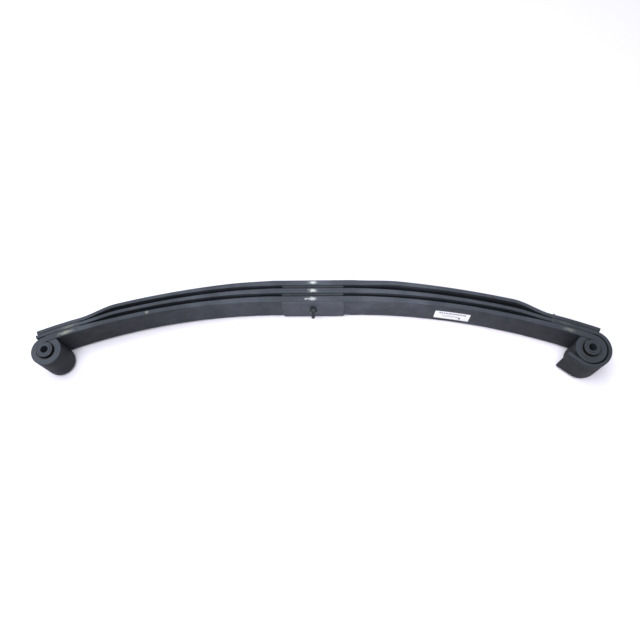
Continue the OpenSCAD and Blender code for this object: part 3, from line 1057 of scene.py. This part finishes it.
class LEAFSPRING_OT_bushes(Operator):
    """Build the sleeve, rubber and inner tube of both eye bushes"""

    bl_idname = "leaf_spring.bushes"
    bl_label = "Eye bushes"

    def execute(self, context):
        bush, rubber_finish, primer_and_shade = sizes("bushes"), oversprayed_rubber(), primed_steel_in_shade()
        tube_z, sleeve_z, rubber_z = bush.tube_l / 2, bush.sleeve_l / 2, bush.rubber_l / 2
        bond_r = bush.sleeve_r - bush.sleeve_wall
        groove_z = sleeve_z - bush.groove
        in_r, rim, lip = bush.tube_r + bush.tube_play, bush.rim_r, bush.lip_r
        for side, name in SIDE_NAMES.items():
            sleeve = turned(
                [
                    (bond_r, -sleeve_z), (bush.sleeve_r, -sleeve_z),
                    (bush.sleeve_r, sleeve_z), (bond_r, sleeve_z),
                ],
                rounded=[(0, lip), (1, rim), (2, rim), (3, lip)],
            )
            rubber = turned(
                [
                    (in_r, -rubber_z), (bush.collar_r, -rubber_z), (bush.collar_r, -groove_z),
                    (bond_r, -groove_z), (bond_r, groove_z), (bush.collar_r, groove_z),
                    (bush.collar_r, rubber_z), (in_r, rubber_z),
                ],
                rounded=[(1, bush.collar_edge_r), (6, bush.collar_edge_r), (0, rim), (7, rim)],
            )
            tube = turned(
                [
                    (bush.bore_r, -tube_z), (bush.tube_r, -tube_z),
                    (bush.tube_r, tube_z), (bush.bore_r, tube_z),
                ],
                rounded=[(0, lip), (1, rim), (2, rim), (3, lip)],
            )
            for part, bm, body, slot, material in (
                ("sleeve", sleeve, "eye", "leaf_paint", primer_and_shade),
                ("rubber", rubber, "eye", "bush_rubber", rubber_finish),
                ("tube", tube, "core", "bush_steel", tube_paint()),
            ):
                piece = new_piece(f"{name}_bush_{part}", moved_to_eye(bm, side), material)
                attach(piece, f"{name}_{body}")
                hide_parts(f"{name}_{part}")
        return {"FINISHED"}


class LEAFSPRING_OT_liners(Operator):
    """Finish the liners between the leaf tips"""

    bl_idname = "leaf_spring.liners"
    bl_label = "Tip liners"

    def execute(self, context):
        nylon = cut_nylon()
        for name in SIDE_NAMES.values():
            for level in ("lower", "upper"):
                cad_piece(f"{name}_{level}_liner", nylon)
        return {"FINISHED"}


class LEAFSPRING_OT_label(Operator):
    """Build the label on the front arm's hollow face"""

    bl_idname = "leaf_spring.label"
    bl_label = "Label"

    def execute(self, context):
        label, line = sizes("label"), LeafLine(FRONT)
        low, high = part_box("label")
        start, end = label.place - label.long / 2, label.place + label.long / 2
        bm = straight_bar(
            [start, *steps(start, end, LEAF_STEP)], high.z - low.z, label.thick, label.corner_r,
            end_r=0.0, z_mid=-label.drop,
        )
        back_h = -label.clear
        lay_along(bm, line, label.thick, lambda s: back_h - label.thick, lambda s: back_h)
        piece = new_piece("label_film", bm, label_film())
        flexes_with(piece)
        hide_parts("label")
        return {"FINISHED"}


def area_light(name, at, aim, size, watts, light_tint, spread=pi):
    """A soft, rectangular studio light that points at a place."""
    data = bpy.data.lights.new(name, "AREA")
    data.shape = "RECTANGLE"
    data.size, data.size_y = size
    data.energy, data.color, data.spread = watts, light_tint, spread
    light = bpy.data.objects.new(name, data)
    light.location = at
    light.rotation_euler = (Vector(aim) - Vector(at)).to_track_quat("-Z", "Y").to_euler()
    bpy.context.scene.collection.objects.link(light)


class LEAFSPRING_OT_stage(Operator):
    """Set the floor, the soft studio light and the camera"""

    bl_idname = "leaf_spring.stage"
    bl_label = "Studio"

    def execute(self, context):
        scene, stage = context.scene, sizes("stage")
        bm = bmesh.new()
        ground = Matrix.Translation((0, 0, CAD_BOX[0].z))
        bmesh.ops.create_grid(
            bm, x_segments=1, y_segments=1, size=stage.floor_l / 2, matrix=ground
        )
        floor = new_piece("studio_floor", bm, studio_floor(), smooth=False)
        world = bpy.data.worlds.new("studio")
        world.use_nodes = True
        background = world.node_tree.nodes["Background"]
        background.inputs["Color"].default_value = rgba(stage.sky)
        background.inputs["Strength"].default_value = stage.sky_strength
        scene.world = world
        key_size, fill_size = (2.4, 1.8), (0.35, 0.25)
        area_light("key", stage.key_at, (0, 0, 0), key_size, stage.key_watts, stage.key_tint)
        area_light(
            "fill", stage.fill_at, stage.fill_aim, fill_size, stage.fill_watts,
            stage.fill_tint, stage.fill_spread,
        )
        camera = bpy.data.objects.new("camera", bpy.data.cameras.new("camera"))
        camera.data.lens = stage.lens
        at, aim = Vector(stage.camera_at), Vector(stage.camera_aim)
        turn = (aim - at).to_track_quat("-Z", "Y").to_matrix().to_4x4()
        roll = Matrix.Rotation(stage.roll, 4, "Z")
        camera.matrix_world = Matrix.Translation(at) @ turn @ roll
        scene.collection.objects.link(camera)
        scene.camera = camera
        scene.view_settings.view_transform = "Standard"
        return {"FINISHED"}


GROUPS = {
    "leaves": LeafSizes,
    "seat": SeatSizes,
    "bushes": BushSizes,
    "label": LabelSizes,
    "finishes": Finishes,
    "stage": StageSizes,
}
OPERATORS = (
    LEAFSPRING_OT_leaves,
    LEAFSPRING_OT_seat,
    LEAFSPRING_OT_bolt,
    LEAFSPRING_OT_bushes,
    LEAFSPRING_OT_liners,
    LEAFSPRING_OT_label,
    LEAFSPRING_OT_stage,
)


class LEAFSPRING_PT_panel(Panel):
    """Sizes, colours and build steps of the leaf spring"""

    bl_idname = "LEAFSPRING_PT_panel"
    bl_label = "Leaf spring"
    bl_space_type = "VIEW_3D"
    bl_region_type = "UI"
    bl_category = "Leaf spring"

    def draw(self, context):
        for operator in OPERATORS:
            self.layout.operator(operator.bl_idname)
        for name, group in GROUPS.items():
            box = self.layout.box()
            box.label(text=name.capitalize())
            for prop in group.__annotations__:
                box.prop(sizes(name), prop)


def register():
    for cls in (*GROUPS.values(), *OPERATORS, LEAFSPRING_PT_panel):
        bpy.utils.register_class(cls)
    for name, group in GROUPS.items():
        setattr(bpy.types.Scene, "leaf_spring_" + name, PointerProperty(type=group))


def unregister():
    for name in GROUPS:
        delattr(bpy.types.Scene, "leaf_spring_" + name)
    for cls in (LEAFSPRING_PT_panel, *reversed(OPERATORS), *reversed(GROUPS.values())):
        bpy.utils.unregister_class(cls)


def main():
    register()
    bpy.ops.leaf_spring.leaves()
    bpy.ops.leaf_spring.seat()
    bpy.ops.leaf_spring.bolt()
    bpy.ops.leaf_spring.bushes()
    bpy.ops.leaf_spring.liners()
    bpy.ops.leaf_spring.label()
    bpy.ops.leaf_spring.stage()


if __name__ == "__main__":
    main()
